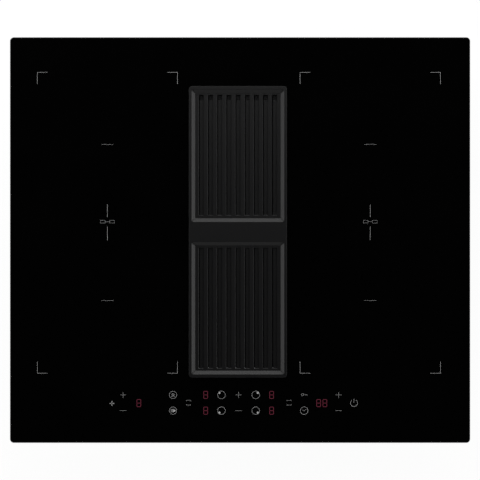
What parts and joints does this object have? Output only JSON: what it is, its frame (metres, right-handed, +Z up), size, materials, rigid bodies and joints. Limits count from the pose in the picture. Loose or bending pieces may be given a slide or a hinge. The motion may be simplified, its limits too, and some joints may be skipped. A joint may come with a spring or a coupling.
{
  "type": "downdraft induction cooktop",
  "caption": "Black glass induction hob with a slotted suction grille in the middle, lift-out grease filter and drip tray, and a fan housing below with a flat duct outlet.",
  "frame": {"origin": "centre of the underside, below the middle of the glass", "axes": "+X to the right of a person at the controls, +Y to the back, +Z up"},
  "size_m": [0.59, 0.52, 0.2145],
  "materials": {
    "glass_ceramic": "polished black glass-ceramic",
    "foam_tape": "closed-cell foam",
    "zinc_sheet": "zinc-plated sheet",
    "spring_steel": "bright spring steel",
    "screw_steel": "zinc plated",
    "black_enamel": "satin black enamel",
    "black_rubber": "matte",
    "black_moulding": "fine matte grain",
    "filter_sheet": "mill finish",
    "filter_mesh": "expanded mesh",
    "tray_moulding": "satin",
    "housing_moulding": "fine matte grain",
    "wheel_moulding": "satin",
    "motor_steel": "bright drawn can",
    "shaft_steel": "ground",
    "litz_wire": "enamelled copper-clad strands",
    "former_moulding": "glass-filled, matte",
    "ferrite": "sintered, matte",
    "mica": "pressed mica sheet",
    "sensor_ceramic": "white ceramic",
    "plate_aluminium": "mill finish",
    "white_nylon": "satin",
    "circuit_board": "solder resist",
    "capacitor_case": "moulded case",
    "sink_aluminium": "extruded",
    "display_module": "smoked face",
    "terminal_moulding": "satin",
    "gland_nylon": "satin",
    "terminal_strip": "glossy"
  },
  "bodies": {
    "hob": {"glass_top": "glass_ceramic", "seal_tape": "foam_tape", "casing_tray": "zinc_sheet", "angle_frame": "zinc_sheet", "side_clips": "spring_steel", "casing_screws": "screw_steel", "cover_pads": "black_rubber", "inlet_frame": "black_moulding", "inlet_gasket": "black_rubber", "blower_housing": "housing_moulding", "blower_deck": "housing_moulding", "suction_duct": "housing_moulding", "outlet_spigot": "housing_moulding", "housing_screws": "screw_steel", "motor_stator": "motor_steel", "motor_bracket": "zinc_sheet", "motor_grommets": "black_rubber", "bracket_screws": "screw_steel", "coil_front_left": "litz_wire", "coil_rear_left": "litz_wire", "coil_front_right": "litz_wire", "coil_rear_right": "litz_wire", "coil_formers": "former_moulding", "ferrite_bars": "ferrite", "coil_sensors": "sensor_ceramic", "mica_sheet_left": "mica", "mica_sheet_right": "mica", "coil_plate_left": "plate_aluminium", "coil_plate_right": "plate_aluminium", "plate_posts": "white_nylon", "power_board_left": "circuit_board", "power_board_right": "circuit_board", "board_spacers": "white_nylon", "film_capacitors": "capacitor_case", "heat_sink_left": "sink_aluminium", "heat_sink_right": "sink_aluminium", "cooling_fan_frames": "black_moulding", "touch_carrier": "white_nylon", "touch_board": "circuit_board", "digit_displays": "display_module", "touch_pads": "black_rubber", "terminal_lid": "terminal_moulding", "terminal_box": "terminal_moulding", "cable_gland": "gland_nylon", "terminal_block": "terminal_strip", "fan_driver_box": "terminal_moulding", "fan_driver_lid": "terminal_moulding"},
    "drip_tray": {"drip_tray": "tray_moulding"},
    "grease_filter": {"filter_frame": "filter_sheet", "filter_mesh": "filter_mesh", "filter_handle": "filter_sheet"},
    "vent_cover": {"vent_cover": "black_enamel"},
    "impeller": {"impeller": "wheel_moulding", "impeller_nut": "screw_steel", "motor_shaft": "shaft_steel"},
    "cooling_rotor_left": {"cooling_rotor_left": "black_moulding"},
    "cooling_rotor_right": {"cooling_rotor_right": "black_moulding"}
  },
  "joints": [
    {"name": "drip_tray_lift", "type": "slide", "parent": "hob", "child": "drip_tray", "axis": [0, 0, 1], "range_m": [0, 0.22]},
    {"name": "filter_lift", "type": "slide", "parent": "drip_tray", "child": "grease_filter", "axis": [0, 0, 1], "range_m": [0, 0.12]},
    {"name": "cover_lift", "type": "slide", "parent": "grease_filter", "child": "vent_cover", "axis": [0, 0, 1], "range_m": [0, 0.08]},
    {"name": "impeller_spin", "type": "hinge", "parent": "hob", "child": "impeller", "pos_m": [0.1457, -0.045, 0.05], "axis": [0, 0, 1], "continuous": true},
    {"name": "cooling_left_spin", "type": "hinge", "parent": "hob", "child": "cooling_rotor_left", "pos_m": [-0.1701, -0.108, 0.163], "axis": [0, 0, 1], "continuous": true},
    {"name": "cooling_right_spin", "type": "hinge", "parent": "hob", "child": "cooling_rotor_right", "pos_m": [0.1671, -0.108, 0.163], "axis": [0, 0, 1], "continuous": true}
  ]
}
